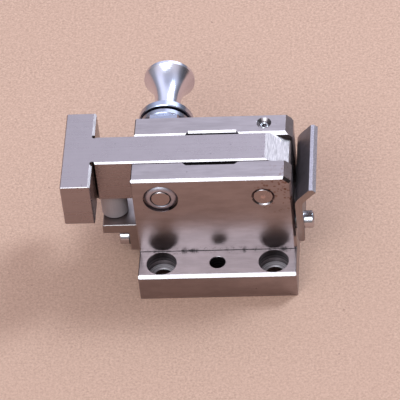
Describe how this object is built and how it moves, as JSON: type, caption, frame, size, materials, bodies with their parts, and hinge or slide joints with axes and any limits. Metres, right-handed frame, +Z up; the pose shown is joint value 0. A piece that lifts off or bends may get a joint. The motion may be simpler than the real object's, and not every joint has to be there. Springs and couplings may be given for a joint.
{
  "type": "swing arm locating unit",
  "caption": "Ground-steel fixture unit: a T-headed arm swings up on a cross pin, rests on a button and is locked down by a quarter-turn pull pin.",
  "frame": {"origin": "on the axis of the dowel hole in the foot, in the mounting face", "axes": "+Z up out of the mounting face, +X along the block from the arm's head towards its pivot, +Y from the foot towards the knob"},
  "size_m": [0.0792, 0.066, 0.0425],
  "materials": {
    "ground_steel": "surface ground, fine lines along X",
    "arm_steel": "surface ground, milled bevel",
    "pin_steel": "ground and hardened",
    "bush_steel": "hardened, ground",
    "plate_steel": "mill finish with sawn edges",
    "bracket_steel": "milled",
    "button_steel": "turned satin",
    "bright_screw": "bright zinc",
    "dark_screw": "plain steel, oiled",
    "washer_steel": "blackened",
    "knob_aluminium": "turned, satin polished",
    "guide_steel": "bright zinc",
    "bronze": "sintered bronze",
    "black_rubber": "matt"
  },
  "bodies": {
    "frame": {"frame_block": "ground_steel", "pivot_pin": "pin_steel", "pivot_set_screw": "dark_screw", "lock_bush": "bush_steel", "guide_bush": "guide_steel", "stop_plate": "plate_steel", "stop_spacer_front": "washer_steel", "stop_spacer_rear": "washer_steel", "stop_screw_front": "bright_screw", "stop_screw_rear": "bright_screw", "rest_bracket": "bracket_steel", "rest_washer_front": "washer_steel", "rest_washer_rear": "washer_steel", "rest_screw_front": "bright_screw", "rest_screw_rear": "bright_screw", "rest_button": "button_steel", "rest_button_screw": "dark_screw"},
    "arm": {"swing_arm": "arm_steel", "arm_bush": "bronze"},
    "pull_slider": {"o_ring": "black_rubber"},
    "pull_pin": {"lock_pin": "pin_steel", "pull_knob": "knob_aluminium"}
  },
  "joints": [
    {"name": "arm_swing", "type": "hinge", "parent": "frame", "child": "arm", "pos_m": [0.0159, 0.019, 0.0337], "axis": [0, 1, 0], "range_deg": [0, 133]},
    {"name": "knob_pull", "type": "slide", "parent": "frame", "child": "pull_slider", "axis": [0, 1, 0], "range_m": [0, 0.021]},
    {"name": "knob_turn", "type": "hinge", "parent": "pull_slider", "child": "pull_pin", "pos_m": [-0.0162, 0.019, 0.0337], "axis": [0, 1, 0], "range_deg": [0, 90]}
  ]
}
